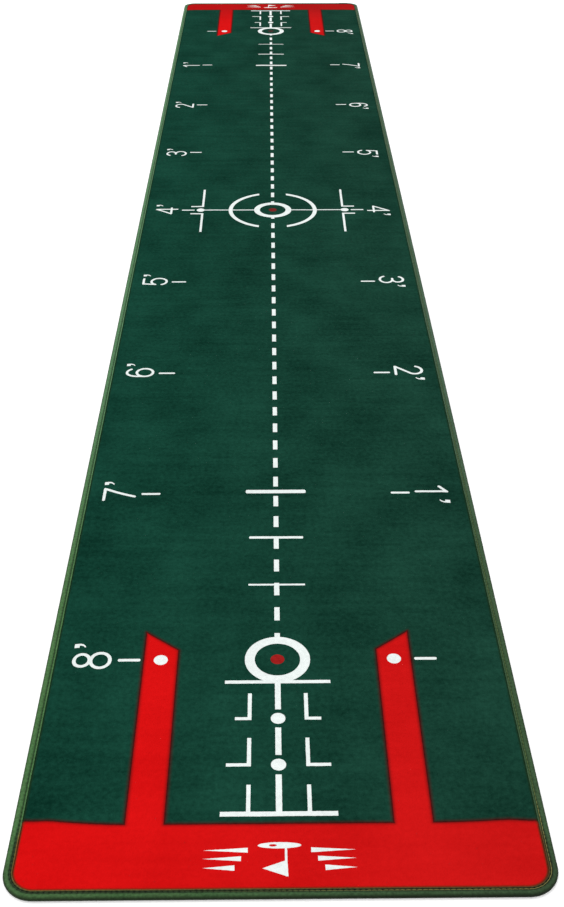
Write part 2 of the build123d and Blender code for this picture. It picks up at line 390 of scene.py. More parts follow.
def tapeMaterial():
    look = tapeLook
    material, tree, shader = newMaterial("bindingTape", **{
        "Sheen Weight": 0.04, "Sheen Roughness": 0.5, "Sheen Tint": (0.3, 0.5, 0.3, 1),
        "Specular IOR Level": 0.1})
    along, across, pull, hole = [attribute(tree, label) for label in ("along", "across", "pull", "hole")]
    place = objectPlace(tree)
    x, y, z = axes(tree, place)
    weave = useGroup(tree, twillWeave, {"Vector": vectorOf(tree, along, across),
                                        "Ribs per metre": look["ribsPerMetre"],
                                        "Shadow": look["shadow"], "Thread": look["thread"]})
    lint = useGroup(tree, settledLint, {"Vector": place, "Amount": 0.35, "Color": weave["Color"],
                                        "Dust": look["dust"]})
    # painted shade in the stitch groove, darkest at each hole and darker towards the near end
    groove = times(tree, mathNode(tree, "POWER", pull, 0.9), weighted(tree, 0.6, (hole, 0.45)), True)
    gain = made(tree, "ShaderNodeMapRange", {
        "Value": y, "From Min": look["nearGrooveSpan"][0], "From Max": look["nearGrooveSpan"][1],
        "To Min": look["nearGrooveGain"], "To Max": 1.0})
    groove = times(tree, groove, gain, True)
    lip = minus(tree, 1.0, times(tree, across, 1 / look["lipWidth"]), True)
    # painted shade on the rim's lower side
    sideShadeMask = times(tree, minus(tree, across, look["soilFrom"]), 1 / look["soilReach"], True)
    grooveShade = fadedAlong(tree, look["grooveShade"], y, look["nearGrooveSpan"], look["nearGrooveTint"])
    lipShade = fadedAlong(tree, look["lipShade"], y, look["redLipSpan"], look["redLipTint"])
    colour = lint["Color"]
    for mask, shade in ((groove, grooveShade), (lip, lipShade), (sideShadeMask, look["soil"])):
        colour = tinted(tree, colour, mixColour(tree, mask, plain, shade))
    # painted light across the mat, paler on the left, and painted shade at the near end
    colour = fadedAlong(tree, colour, x, look["acrossSpan"], look["leftTint"], look["rightTint"])
    colour = fadedAlong(tree, colour, y, look["farSpan"], plain, look["farTint"])
    colour = fadedAlong(tree, colour, y, look["nearSpan"], look["nearTint"])
    finishShader(tree, shader, colour, weave["Roughness"], weave["Height"], 0.25 * mm, 0.7)
    return material


def threadMaterial():
    material, tree, shader = newMaterial("seamThread", **{"Sheen Weight": 0.05, "Specular IOR Level": 0.2})
    place = objectPlace(tree)
    x, y, z = axes(tree, place)
    plies = addNode(tree, "ShaderNodeTexWave", {"Vector": place, "Scale": 520.0, "Distortion": 1.5},
                    bands_direction="DIAGONAL").outputs["Fac"]
    fade = noiseNode(tree, place, 60.0, 2.0)
    shade = weighted(tree, 0.0, (plies, 0.5), (fade, 0.5))
    thread = mixColour(tree, shade, (0.07, 0.085, 0.025, 1), (0.24, 0.25, 0.1, 1))
    # green on the left, darkened there with painted shade of the groove it lies in, straw yellow on the
    # right, and duller away from the near end
    faded = fadedAlong(tree, thread, x, (-0.1, 0.15), (0.16, 0.3, 0.2, 1), (1.3, 1.1, 0.8, 1))
    faded = fadedAlong(tree, faded, y, (-1.45, -1.38), plain, (0.38, 0.68, 0.6, 1))
    finishShader(tree, shader, faded, weighted(tree, 0.45, (fade, 0.2)), plies, 0.15 * mm, 0.6)
    return material


def rubberMaterial():
    material, tree, shader = newMaterial("rubberUnderside", **{"Specular IOR Level": 0.35})
    place = objectPlace(tree)
    pores = noiseNode(tree, place, 1400.0, 3.0, 0.6)
    flow = noiseNode(tree, stretched(tree, place, (60.0, 4.0, 1.0)), 1.0, 3.0)
    shade = weighted(tree, 0.0, (pores, 0.5), (flow, 0.5))
    dark = mixColour(tree, shade, (0.012, 0.012, 0.013, 1), (0.038, 0.038, 0.036, 1))
    lint = useGroup(tree, settledLint, {"Vector": place, "Amount": 0.3, "Color": dark,
                                        "Dust": (0.3, 0.29, 0.27, 1)})
    finishShader(tree, shader, lint["Color"], weighted(tree, 0.62, (lint["Mask"], 0.6)), pores, 0.2 * mm, 0.5)
    return material


def clothMaterial():
    material, tree, shader = newMaterial("groundCloth", **{"Sheen Weight": 0.2, "Specular IOR Level": 0.2})
    place = objectPlace(tree)
    weave = useGroup(tree, twillWeave, {"Vector": place, "Ribs per metre": 1300.0, "Slant": 0.0,
                                        "Shadow": (0.07, 0.12, 0.09, 1), "Thread": (0.2, 0.29, 0.24, 1)})
    finishShader(tree, shader, weave["Color"], weave["Roughness"], weave["Height"], 0.2 * mm, 0.6)
    return material


def floorMaterial():
    material, tree, shader = newMaterial("paleFloor", **{
        "Specular IOR Level": 0.1, "Roughness": 0.9, "Emission Color": plain, "Emission Strength": 0.25})
    place = objectPlace(tree)
    pale = mixColour(tree, noiseNode(tree, place, 2.0), (0.93, 0.93, 0.93, 1), (0.95, 0.95, 0.95, 1))
    tree.links.new(pale, shader.inputs["Base Color"])
    return material


dyes = {
    "green": pileMaterial("pileGreen", deep=(0.0024, 0.0215, 0.0135, 1), bright=(0.0105, 0.061, 0.0395, 1),
                          patches=0.42, marks=0.26, speckle=0.5,
                          leftTint=(0.82, 1.04, 1.03, 1), rightTint=(1.12, 0.98, 0.98, 1)),
    "red": pileMaterial("pileRed", deep=(0.5, 0.0025, 0.0025, 1), bright=(0.71, 0.0055, 0.0055, 1),
                        patches=0.3, marks=0.16, speckle=0.25,
                        # painted shade: the red is darker towards the right side and in its far band
                        leftTint=(1.0, 1.1, 1.2, 1), rightTint=(0.85, 1.7, 1.7, 1),
                        farTint=(0.68, 1.1, 1.1, 1), farSpan=(1.3, 1.47), rimShade=0.24),
    "maroon": pileMaterial("pileDyeEdge", deep=(0.024, 0.004, 0.004, 1), bright=(0.08, 0.008, 0.007, 1),
                           patches=0.2, marks=0.2, speckle=0.6),
    "spotRed": pileMaterial("pileSpotRed", deep=(0.2, 0.006, 0.006, 1), bright=(0.38, 0.018, 0.016, 1),
                            patches=0.2, marks=0.2, speckle=0.5, farTint=(0.2, 1.9, 1.9, 1)),
    "white": pileMaterial("pileWhite", deep=(0.6, 0.66, 0.64, 1), bright=(0.9, 0.95, 0.935, 1),
                          patches=0.2, marks=0.15, speckle=0.35),
}
tapeFinish = tapeMaterial()
threadFinish = threadMaterial()
rubberFinish = rubberMaterial()
print("materials made")

# the dyed pile: one fine surface cut along every print's outline
pile = {
    "printStep": 1.6 * mm,  # longest edge along a print's outline
    "fieldStep": 8.4 * mm,  # spacing of the open field's points
    "clearance": 2.2 * mm,  # the field keeps this far from an outline
    "fray": 0.16 * mm,  # unevenness of a print's edge
    "waves": 0.22 * mm,  # unevenness of the pile's height
    "dyeEdge": 0.55 * mm,  # half width of the dark line where red meets green
    "bleedRows": (1.2 * mm, 2.1 * mm, 3.2 * mm, 4.6 * mm),  # rows of points beside it
    "bleedStep": 2.4 * mm,
    "lineStep": 0.8 * mm,  # spacing of the points that the distance to that line is measured from
    "redBleed": 4.9 * mm,  # how far the dark line fades into each dye
    "greenBleed": 3.9 * mm,
    "rimBand": 3 * mm,  # outlines this close to the mat's edge are the mat's own
    "runOn": 4 * mm,  # how far the dark line is run on under the tape
    "rimStep": 5 * mm,  # spacing of the points round the rim
    "rimCorner": 14,  # its steps round a corner
    "rimRows": (7.6 * mm, 8.6 * mm, 9.3 * mm, 10.1 * mm, 11.2 * mm, 12.8 * mm),  # insets, beside the tape
    "rowCorner": 9,  # steps round a corner in those rows
    "fieldMargin": 6.5 * mm,  # the field starts this far in from the tape
    "sampleStep": 1.0 * mm,  # spacing of the points that the clearance is measured from
    "rimDip": 0.8 * mm,  # how far the pile is pulled down beside the tape
    "rimReach": 2.6 * mm,  # how far in that reaches
    "waveSizes": (45 * mm, 13 * mm),  # broad and fine
    "fraySizes": (2.6 * mm, 1.1 * mm),
    "frayReach": 5 * mm,  # how far in from the tape the fraying grows to its full size
    "printShift": (-1.2 * mm, 3.2 * mm),  # the print lies a little off the middle of the cut mat
    "shiftReach": 30 * mm,  # how far in from the tape that grows to its full size
    "redDepth": 76 * mm,  # from the mat's end to the near red edge
    "pull": (10 * mm, 5.5 * mm),  # how far the binding has pulled that edge at its left and right ends
    "pullFrom": 0.13,  # how far from the middle the pull starts
    "pullReach": 55 * mm,  # how far along the mat it reaches
    "pullAll": 1 * mm,  # and how far the whole edge is moved
    "rimSpread": 1.5 * mm,  # how far the rim's foot spreads out to the tape's fold
    "rimSide": 4 * mm,  # where a rim point is this near to a side
    "rimSlack": 0.2 * mm,
    "testsAtOnce": 4000000,  # edge tests held in memory together
}
pieceDyes = {"pileGreen": ("green", "pile_green"), "redZone": ("red", "pile_red"),
             "dyeEdge": ("maroon", "pile_red"), "targetSpot": ("spotRed", "pile_spot_red")}
printNodes = [name for name in sorted(nodes) if name not in
              ("rubber_backing", "ground_cloth", "green_field", "green_islands",
               "edge_binding", "needle_thread", "bobbin_thread")]


def dyeOf(label):  # the dye of a pile piece and its slot
    return next((pieceDyes[start] for start in pieceDyes if label.startswith(start)), ("white", "pile_white"))


def printOutline(name):
    # edges round the top of a dyed part, as pairs of points
    mesh = nodes[name].data
    spots = np.zeros(len(mesh.vertices) * 3)
    mesh.vertices.foreach_get("co", spots)
    spots = spots.reshape(-1, 3)
    faces = np.array([face.vertices[:] for face in mesh.polygons])
    faces = faces[(spots[faces][:, :, 2] > mat["pileTop"] - 0.01 * mm).all(axis=1)]
    flat, where = np.unique(np.round(spots[:, :2], 6), axis=0, return_inverse=True)
    faces = where.reshape(-1)[faces]
    edges = np.sort(np.concatenate([faces[:, [0, 1]], faces[:, [1, 2]], faces[:, [2, 0]]]), axis=1)
    edges, uses = np.unique(edges, axis=0, return_counts=True)
    edges = edges[(uses == 1) & (edges[:, 0] != edges[:, 1])]
    under = insetOf(flat[:, 0], flat[:, 1]) < pile["rimBand"]  # the mat's own outline is drawn apart
    edges = edges[~(under[edges].all(axis=1))]
    return flat[edges]


def openPath(edges):
    # puts the edges of the longest open line in order
    keys = [tuple(spot) for spot in edges.reshape(-1, 2)]
    beside = {}
    for first, second in zip(keys[0::2], keys[1::2]):
        beside.setdefault(first, []).append(second)
        beside.setdefault(second, []).append(first)
    paths = []
    for start in [spot for spot, others in beside.items() if len(others) == 1]:
        path, previous = [start], None
        while True:
            onward = [spot for spot in beside[path[-1]] if spot != previous]
            if not onward:
                break
            previous = path[-1]
            path.append(onward[0])
        paths.append(path)
    return np.array(max(paths, key=len))


def shiftedPath(path, distance):
    # the same line moved sideways, with mitred corners and its ends run on under the tape
    steps = np.diff(path, axis=0)
    steps /= np.linalg.norm(steps, axis=1)[:, None]
    sides = np.stack([-steps[:, 1], steps[:, 0]], axis=1)
    before, after = np.vstack([sides[:1], sides]), np.vstack([sides, sides[-1:]])
    middle = before + after
    middle /= (middle * before).sum(axis=1)[:, None]
    moved = path + middle * distance
    moved[0] -= steps[0] * pile["runOn"]
    moved[-1] += steps[-1] * pile["runOn"]
    return np.stack([moved[:-1], moved[1:]], axis=1)


def divided(edges, step):
    parts = []
    for first, second in edges:
        count = max(1, math.ceil(np.linalg.norm(second - first) / step))
        line = first + (second - first) * (np.arange(count + 1) / count)[:, None]
        parts.append(np.stack([line[:-1], line[1:]], axis=1))
    return np.concatenate(parts)


def distancesTo(samples, spots):
    # how far each spot lies from the nearest sample
    tree = kdtree.KDTree(len(samples))
    for index, (x, y) in enumerate(samples):
        tree.insert((x, y, 0), index)
    tree.balance()
    return np.array([tree.find((x, y, 0))[2] for x, y in spots])


def holds(edges, spots, towards):
    # whether each spot is inside, by counting the edges that a line from it towards +Y or -Y meets
    inside = np.zeros(len(spots), bool)
    low, high = edges.min(axis=(0, 1)), edges.max(axis=(0, 1))
    within = (spots[:, 0] >= low[0]) & (spots[:, 0] <= high[0])
    before = spots[:, 1] * towards <= max(low[1] * towards, high[1] * towards)
    near = np.flatnonzero(within & before)
    first, second = edges[:, 0], edges[:, 1]
    span = second[:, 0] - first[:, 0]
    span = np.where(np.abs(span) < 1e-12, 1e-12, span)
    for chunk in np.array_split(near, len(near) * len(edges) // pile["testsAtOnce"] + 1):
        x, y = spots[chunk, 0][:, None], spots[chunk, 1][:, None]
        crosses = (first[:, 0] > x) != (second[:, 0] > x)
        height = first[:, 1] + (x - first[:, 0]) * (second[:, 1] - first[:, 1]) / span
        inside[chunk] = (crosses & ((height - y) * towards > 0)).sum(axis=1) % 2 == 1
    return inside


outlines = {name: divided(printOutline(name), pile["printStep"]) for name in printNodes}
dyeEdges, bleedPoints, redLines = {}, [], []
for name in ("red_zone_near", "red_zone_far"):
    path = openPath(printOutline(name))
    redLines.append(divided(np.stack([path[:-1], path[1:]], axis=1), pile["lineStep"])[:, 0])
    bleedPoints += [divided(shiftedPath(path, side * distance), pile["bleedStep"])[:, 0]
                    for distance in pile["bleedRows"] for side in (1, -1)]
    for side in (1, -1):
        dyeEdges[name, side] = divided(shiftedPath(path, side * pile["dyeEdge"]), pile["printStep"])
    # the side of the line that lies further from the mat's middle comes first
    if abs(dyeEdges[name, 1][:, :, 1]).mean() < abs(dyeEdges[name, -1][:, :, 1]).mean():
        dyeEdges[name, 1], dyeEdges[name, -1] = dyeEdges[name, -1], dyeEdges[name, 1]

rim = outlineStations(mat["rimInset"], pile["rimStep"], pile["rimCorner"])
rim = np.array([spot[:] for spot, inward in rim])
rimEdges = np.stack([rim, np.roll(rim, -1, axis=0)], axis=1)
cuts = np.concatenate([rimEdges, *outlines.values(), *dyeEdges.values()])

spacing = pile["fieldStep"]
rows = np.arange(-mat["halfLength"], mat["halfLength"], spacing * rowShare)
columns = np.arange(-mat["halfWidth"], mat["halfWidth"], spacing)
field = np.concatenate([np.stack([columns + (index % 2) * spacing / 2, np.full(len(columns), row)], axis=1)
                        for index, row in enumerate(rows)])
field = field[insetOf(field[:, 0], field[:, 1]) > mat["tapeWidth"] + pile["fieldMargin"]]
rimRows = [np.array([spot[:] for spot, inward in outlineStations(inset, pile["rimStep"], pile["rowCorner"])])
           for inset in pile["rimRows"]]
field = np.concatenate([field, *rimRows])
samples = divided(np.concatenate([*outlines.values(), *dyeEdges.values()]), pile["sampleStep"])[:, 0]
field = np.concatenate([field[distancesTo(samples, field) > pile["clearance"]], *bleedPoints])

spots, where = np.unique(np.round(cuts.reshape(-1, 2), 6), axis=0, return_inverse=True)
cutEdges = where.reshape(-1, 2)
points = [Vector(spot) for spot in np.concatenate([spots, field])]
surface = delaunay_2d_cdt(points, [tuple(map(int, edge)) for edge in cutEdges], [], 0, 1e-6, False)
flat = np.array([spot[:] for spot in surface[0]])
triangles = np.array([face[:] for face in surface[2]])
print("pile surface:", len(flat), "points,", len(triangles), "triangles")

# which piece each triangle belongs to: its place in owners, or -1 outside the rim
middles = flat[triangles].mean(axis=1)
owner = np.where(insetOf(middles[:, 0], middles[:, 1]) < mat["rimInset"], -1, 0)
owners = ["pileGreen"]


def camel(name):
    first, *others = name.split("_")
    return first + "".join(word.capitalize() for word in others)


redAndEdge = {}
for name in ("red_zone_near", "red_zone_far"):
    towards = 1 if name.endswith("near") else -1
    wide = holds(dyeEdges[name, -1], middles, towards)
    narrow = holds(dyeEdges[name, 1], middles, towards)
    redAndEdge[name] = (wide & ~narrow, narrow)
for name in sorted(redAndEdge):
    for label, chosen in zip((name.replace("red_zone", "dye_edge"), name), redAndEdge[name]):
        owner[chosen & (owner == 0)] = len(owners)
        owners.append(camel(label))
for name in printNodes:
    if name not in redAndEdge:
        towards = -1 if name.endswith("far") else 1
        chosen = holds(outlines[name], middles, towards) & (owner >= 0)
        owner[chosen] = len(owners)
        owners.append(camel(name))


# how the pile lies: frayed dye edges, gentle waves, and the dip beside the tape
def smoothStep(value):
    value = np.clip(value, 0, 1)
    return value * value * (3 - 2 * value)


def noiseField(spots, size, seed):
    return np.array([noise.noise((x / size + seed, y / size, seed)) for x, y in spots])


inset = insetOf(flat[:, 0], flat[:, 1])
dip = 1 - smoothStep((inset - mat["tapeWidth"]) / pile["rimReach"])
wide, fine = pile["waveSizes"]
level = mat["pileTop"] + pile["waves"] * (noiseField(flat, wide, 3) + 0.5 * noiseField(flat, fine, 8))
level -= pile["rimDip"] * dip
inner = smoothStep((inset - mat["tapeWidth"]) / pile["frayReach"])
wide, fine = pile["fraySizes"]
lie = flat.copy()
lie[:, 0] += inner * pile["fray"] * (noiseField(flat, wide, 21) + noiseField(flat, fine, 4))
lie[:, 1] += inner * pile["fray"] * (noiseField(flat, wide, 55) + noiseField(flat, fine, 9))
shifted = smoothStep((inset - mat["tapeWidth"]) / pile["shiftReach"])
lie += shifted[:, None] * np.array(pile["printShift"])
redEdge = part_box("red_zone_near")[0].y + pile["redDepth"]
nearRed = smoothStep(1 - abs(flat[:, 1] - redEdge) / pile["pullReach"])
for side, pull in zip((-1, 1), pile["pull"]):
    outwards = np.clip((flat[:, 0] * side - pile["pullFrom"]) / (mat["halfWidth"] - pile["pullFrom"]), 0, 1)
    lie[:, 1] += pull * outwards ** 2 * nearRed
lie[:, 1] += pile["pullAll"] * nearRed

fromRed = distancesTo(np.concatenate(redLines), flat)
bleeds = {"red": np.clip(1 - fromRed / pile["redBleed"], 0, 1) ** 2,
          "green": np.clip(1 - fromRed / pile["greenBleed"], 0, 1) ** 1.5}

pilePieces = {}
for index, label in enumerate(owners):
    chosen = triangles[owner == index]
    if not len(chosen):
        continue
    used, local = np.unique(chosen, return_inverse=True)
    local = local.reshape(-1, 3)
    count = len(used)
    top = np.column_stack([lie[used], level[used]])
    bottom = np.column_stack([lie[used], np.full(count, mat["pileBottom"])])
    atRim = inset[used] < mat["rimInset"] + pile["rimSlack"]
    for axis, half in ((0, mat["halfWidth"]), (1, mat["halfLength"])):
        outer = lie[used][:, axis]
        onSide = atRim & (np.abs(np.abs(outer) - half) < pile["rimSide"])
        bottom[:, axis] += np.where(onSide, np.sign(outer) * pile["rimSpread"], 0)
    directed = np.concatenate([local[:, [0, 1]], local[:, [1, 2]], local[:, [2, 0]]])
    forward = directed[:, 0].astype(np.int64) * count + directed[:, 1]
    backward = directed[:, 1].astype(np.int64) * count + directed[:, 0]
    border = directed[~np.isin(forward, backward)]
    walls = np.column_stack([border[:, 0], border[:, 0] + count, border[:, 1] + count, border[:, 1]])
    faces = local.tolist() + (local[:, ::-1] + count).tolist() + walls.tolist()
    kind = dyeOf(label)[0]
    piece = newMesh(label, np.concatenate([top, bottom]).tolist(), faces, dyes[kind], 35)
    bleed = bleeds[kind][used] if kind in bleeds else np.zeros(count)
    # the dip beside the tape, which also carries the painted shade in the pile's material
    for valueName, values in (("crushed", np.concatenate([dip[used], np.ones(count)])),
                              ("bleed", np.concatenate([bleed, bleed]))):
        layer = piece.data.attributes.new(valueName, "FLOAT", "POINT")
        layer.data.foreach_set("value", values.astype(np.float32))
    pilePieces[label] = piece
print("pile cut into", len(pilePieces), "pieces")


# geometry nodes: the tape, its stitches, and the grip studs
def newGeometryTree(name, inputs):
    tree = bpy.data.node_groups.new(name, "GeometryNodeTree")
    tree.interface.new_socket(name="Geometry", in_out="INPUT", socket_type="NodeSocketGeometry")
    for label, kind in inputs:
        tree.interface.new_socket(name=label, in_out="INPUT", socket_type="NodeSocket" + kind)
    tree.interface.new_socket(name="Geometry", in_out="OUTPUT", socket_type="NodeSocketGeometry")
    return tree, tree.nodes.new("NodeGroupInput").outputs, tree.nodes.new("NodeGroupOutput").inputs


def finishTree(tree, shape, material, out):
    whole = made(tree, "GeometryNodeRealizeInstances", {0: shape})
    dressed = made(tree, "GeometryNodeSetMaterial", {"Geometry": whole, "Material": material})
    tree.links.new(dressed, out[0])


def grown(source, tree, values, name, smoothAngle):
    # runs a tree on an object and keeps the result as a plain mesh
    modifier = source.modifiers.new(tree.name, "NODES")
    modifier.node_group = tree
    for socket in tree.interface.items_tree:
        if socket.in_out == "INPUT" and socket.name in values:
            modifier[socket.identifier] = values[socket.name]
    bpy.context.view_layer.update()
    evaluated = source.evaluated_get(bpy.context.evaluated_depsgraph_get())
    mesh = bpy.data.meshes.new_from_object(evaluated)
    mesh.name = name
    piece = bpy.data.objects.new(name, mesh)
    bpy.context.scene.collection.objects.link(piece)
    source.modifiers.remove(modifier)
    bpy.data.objects.remove(source)
    smooth(mesh, smoothAngle)
    return piece


def guide(name, spots, closed, attributes):
    # a line of points that carries named values for a tree
    mesh = bpy.data.meshes.new(name)
    count = len(spots)
    mesh.from_pydata([tuple(spot) for spot in spots],
                     [(index, (index + 1) % count) for index in range(count if closed else count - 1)], [])
    for label, values in attributes.items():
        if len(np.shape(values)) == 2:
            mesh.attributes.new(label, "FLOAT_VECTOR", "POINT").data.foreach_set("vector", np.ravel(values))
        else:
            mesh.attributes.new(label, "FLOAT", "POINT").data.foreach_set("value", np.ravel(values))
    holder = bpy.data.objects.new(name, mesh)
    bpy.context.scene.collection.objects.link(holder)
    return holder


def named(tree, label, kind="FLOAT"):
    node = addNode(tree, "GeometryNodeInputNamedAttribute", {"Name": label}, data_type=kind)
    return node.outputs["Attribute"]


def makeTapeTree():
    # sweeps the folded tape's section round the rim, pulled in at each stitch hole
    tree, given, out = newGeometryTree("foldedTape", [
        ("Section", "Object"), ("Stitch dimple", "Float"),
        ("Edge drift", "Float"), ("Gather height", "Float"),
        ("Material", "Material")])
    rail = made(tree, "GeometryNodeMeshToCurve", {0: given["Geometry"]})
    rail = made(tree, "GeometryNodeSetCurveNormal", {0: rail}, mode="Z_UP")
    section = addNode(tree, "GeometryNodeObjectInfo", {"Object": given["Section"]}).outputs["Geometry"]
    section = made(tree, "GeometryNodeMeshToCurve", {0: section})
    tape = made(tree, "GeometryNodeCurveToMesh", {0: rail, 1: section, "Fill Caps": True})
    tape = made(tree, "GeometryNodeFlipFaces", {0: tape})
    dimple = times(tree, times(tree, named(tree, "hole"), named(tree, "pull")), given["Stitch dimple"])
    gather = times(tree, times(tree, named(tree, "gather"), named(tree, "free")), given["Gather height"])
    rise = vectorOf(tree, z=minus(tree, gather, dimple))
    drift = times(tree, times(tree, named(tree, "drift"), named(tree, "free")), given["Edge drift"])
    sideways = made(tree, "ShaderNodeVectorMath", operation="SCALE", links={
        0: named(tree, "inward", "FLOAT_VECTOR"), "Scale": drift})
    offset = made(tree, "ShaderNodeVectorMath", {0: rise, 1: sideways}, operation="ADD")
    tape = made(tree, "GeometryNodeSetPosition", {"Geometry": tape, "Offset": offset})
    finishTree(tree, tape, given["Material"], out)
    return tree


def makeStitchTree():
    # lays one arched stitch between each pair of holes
    tree, given, out = newGeometryTree("lockstitch", [
        ("Length", "Float"), ("Rise", "Float"), ("Thread radius", "Float"),
        ("Slant", "Float"), ("Seed", "Int"), ("Material", "Material")])
    halfLength = times(tree, given["Length"], 0.5)
    start = vectorOf(tree, times(tree, halfLength, -1.0))
    peak = vectorOf(tree, z=given["Rise"])
    end = vectorOf(tree, halfLength)
    arch = made(tree, "GeometryNodeCurveQuadraticBezier",
                {"Resolution": 4, "Start": start, "Middle": peak, "End": end})
    ring = made(tree, "GeometryNodeCurvePrimitiveCircle",
                {"Resolution": 6, "Radius": given["Thread radius"]})
    stitch = made(tree, "GeometryNodeCurveToMesh", {0: arch, 1: ring, "Fill Caps": True})
    turn = addNode(tree, "FunctionNodeRandomValue", {"Seed": given["Seed"]}, data_type="FLOAT")
    turn.inputs[2].default_value, turn.inputs[3].default_value = -1.0, 1.0
    slant = times(tree, turn.outputs[1], given["Slant"])
    heading = vectorOf(tree, z=plus(tree, named(tree, "heading"), slant))
    laid = made(tree, "GeometryNodeInstanceOnPoints",
                {"Points": given["Geometry"], "Instance": stitch, "Rotation": heading})
    finishTree(tree, laid, given["Material"], out)
    return tree


def makeStudTree():
    # moulds staggered rows of low studs on the underside
    tree, given, out = newGeometryTree("gripStuds", [
        ("Width", "Float"), ("Length", "Float"), ("Columns", "Int"),
        ("Rows", "Int"), ("Foot radius", "Float"), ("Crown radius", "Float"),
        ("Height", "Float"), ("Stagger", "Float"), ("Material", "Material")])
    grid = made(tree, "GeometryNodeMeshGrid", {
        "Size X": given["Width"], "Size Y": given["Length"],
        "Vertices X": given["Columns"], "Vertices Y": given["Rows"]})
    row = mathNode(tree, "MODULO", made(tree, "GeometryNodeInputIndex"), given["Rows"])
    odd = mathNode(tree, "MODULO", row, 2.0)
    shift = times(tree, minus(tree, odd, 0.5), given["Stagger"])
    offset = vectorOf(tree, shift)
    grid = made(tree, "GeometryNodeSetPosition", {"Geometry": grid, "Offset": offset})
    stud = made(tree, "GeometryNodeMeshCone", {
        "Vertices": 8, "Side Segments": 1, "Radius Top": given["Foot radius"],
        "Radius Bottom": given["Crown radius"], "Depth": given["Height"]})
    studs = made(tree, "GeometryNodeInstanceOnPoints", {"Points": grid, "Instance": stud})
    joined = addNode(tree, "GeometryNodeJoinGeometry", {0: given["Geometry"]})
    tree.links.new(studs, joined.inputs[0])
    finishTree(tree, joined.outputs[0], given["Material"], out)
    return tree


# the binding tape, folded round the rim. A row of its section is the inset and height of its middle line
# in millimetres, its share of a stitch's pull, and its share of the free edge's drift
binding = {
    "stitchPitch": 5.0 * mm,
    "cornerStitches": 8,
    "dimple": 0.35 * mm,  # how deep a stitch pulls the tape in
    "edgeDrift": 0.35 * mm,  # how far the free edge wanders
    "driftPerMetre": (9, 70),  # how often, broadly and finely
    "gathers": 4,  # round each corner
    "gatherHeight": 0.22 * mm,
    "section": (
        (8.5, 4.98, 0, 1), (7.35, 4.86, 0.3, 0.6), (6.3, 4.38, 1, 0.2), (5.3, 4.84, 0.3, 0),
        (4.0, 4.95, 0, 0), (2.2, 4.90, 0, 0), (1.25, 4.65, 0, 0), (0.56, 3.95, 0, 0),
        (0.3, 3.0, 0, 0), (0.3, 2.2, 0, 0), (0.56, 1.25, 0, 0), (1.25, 0.55, 0, 0),
        (2.2, 0.3, 0, 0), (5.0, 0.32, -0.3, 0), (6.3, 0.42, -0.6, 0), (8.5, 0.32, 0, 0),
    ),
    "lapLength": 24 * mm,  # the tape's ends overlap this far, on the far end
    "lapLift": 0.55 * mm,  # and the upper end lies this much higher
}
tapeTree = makeTapeTree()


def sectionGuide(name, line, thickness, lift=0.0):
    # offsets the section's middle line to both sides and closes it
    path = np.array([row[:2] for row in line]) * mm
    along = np.gradient(path, axis=0)
    along /= np.linalg.norm(along, axis=1)[:, None]
    side = np.stack([-along[:, 1], along[:, 0]], axis=1) * thickness / 2
    path = path - side * 2 / thickness * lift
    ring = np.concatenate([path + side, (path - side)[::-1]])
    extra = np.array([row[2:] for row in line] + [row[2:] for row in line[::-1]], float)
    across = np.concatenate([[0], np.cumsum(np.linalg.norm(np.diff(path, axis=0), axis=1))])
    across = np.concatenate([across, across[::-1]])
    spots = np.column_stack([-ring[:, 0], -ring[:, 1], np.zeros(len(ring))])
    return guide(name, spots, True, {"pull": extra[:, 0], "free": extra[:, 1], "across": across})


def railGuide(name, stations, closed):
    spots = [(spot.x, spot.y, 0) for spot, inward in stations]
    inward = np.array([(direction.x, direction.y, 0) for spot, direction in stations])
    steps = np.linalg.norm(np.diff(np.array(spots), axis=0), axis=1)
    along = np.concatenate([[0], np.cumsum(steps)])
    hole = np.array([(index + 1) % 2 for index in range(len(spots))], float)
    broad, fine = binding["driftPerMetre"]
    drift = np.array([noise.noise((x * broad, y * broad, 5)) + 0.5 * noise.noise((x * fine, y * fine, 1))
                      for x, y, z in spots])
    bend = np.abs(inward[:, 0] * inward[:, 1]) * 2  # 0 on a straight run, 1 half way round a corner
    turned = np.arctan2(inward[:, 1], inward[:, 0]) / (math.pi / 2)
    gather = bend * np.sin(turned * math.tau * binding["gathers"])
    return guide(name, spots, closed, {"inward": inward, "along": along, "hole": hole, "drift": drift,
                                       "gather": gather})


halfPitch, cornerSteps = binding["stitchPitch"] / 2, 2 * binding["cornerStitches"]
stations = outlineStations(0, halfPitch, cornerSteps)
tapeSection = sectionGuide("tapeSection", binding["section"], mat["tapeThickness"])
tapeValues = {"Section": tapeSection, "Stitch dimple": binding["dimple"], "Edge drift": binding["edgeDrift"],
              "Gather height": binding["gatherHeight"], "Material": tapeFinish}
edgeBinding = grown(railGuide("tapeRail", stations, True), tapeTree, tapeValues, "edgeBinding", 50)
lapSteps = round(binding["lapLength"] / halfPitch)
lapSection = sectionGuide("lapSection", binding["section"][:-4], mat["tapeThickness"], binding["lapLift"])
tapeValues.update({"Section": lapSection, "Stitch dimple": 0.0})
lapRail = railGuide("lapRail", stations[-1:] + stations[:lapSteps], False)
bindingLap = grown(lapRail, tapeTree, tapeValues, "bindingLap", 50)
for helper in (tapeSection, lapSection):
    bpy.data.objects.remove(helper)
print("binding swept:", len(edgeBinding.data.polygons), "faces")

# the seam: one arched stitch between each pair of holes, on top and underneath
seam = {
    "length": 4.5 * mm,
    "slant": 0.09,  # radians, at most, to either side
    "top": {"level": 4.40 * mm, "rise": 0.9 * mm, "radius": 0.33 * mm, "lapLift": 0.6 * mm, "seed": 5},
    "under": {"level": 0.56 * mm, "rise": -0.32 * mm, "radius": 0.34 * mm, "lapLift": 0.0, "seed": 8},
}
stitchTree = makeStitchTree()
seamStations = outlineStations(mat["seamInset"], halfPitch, cornerSteps)[1::2]


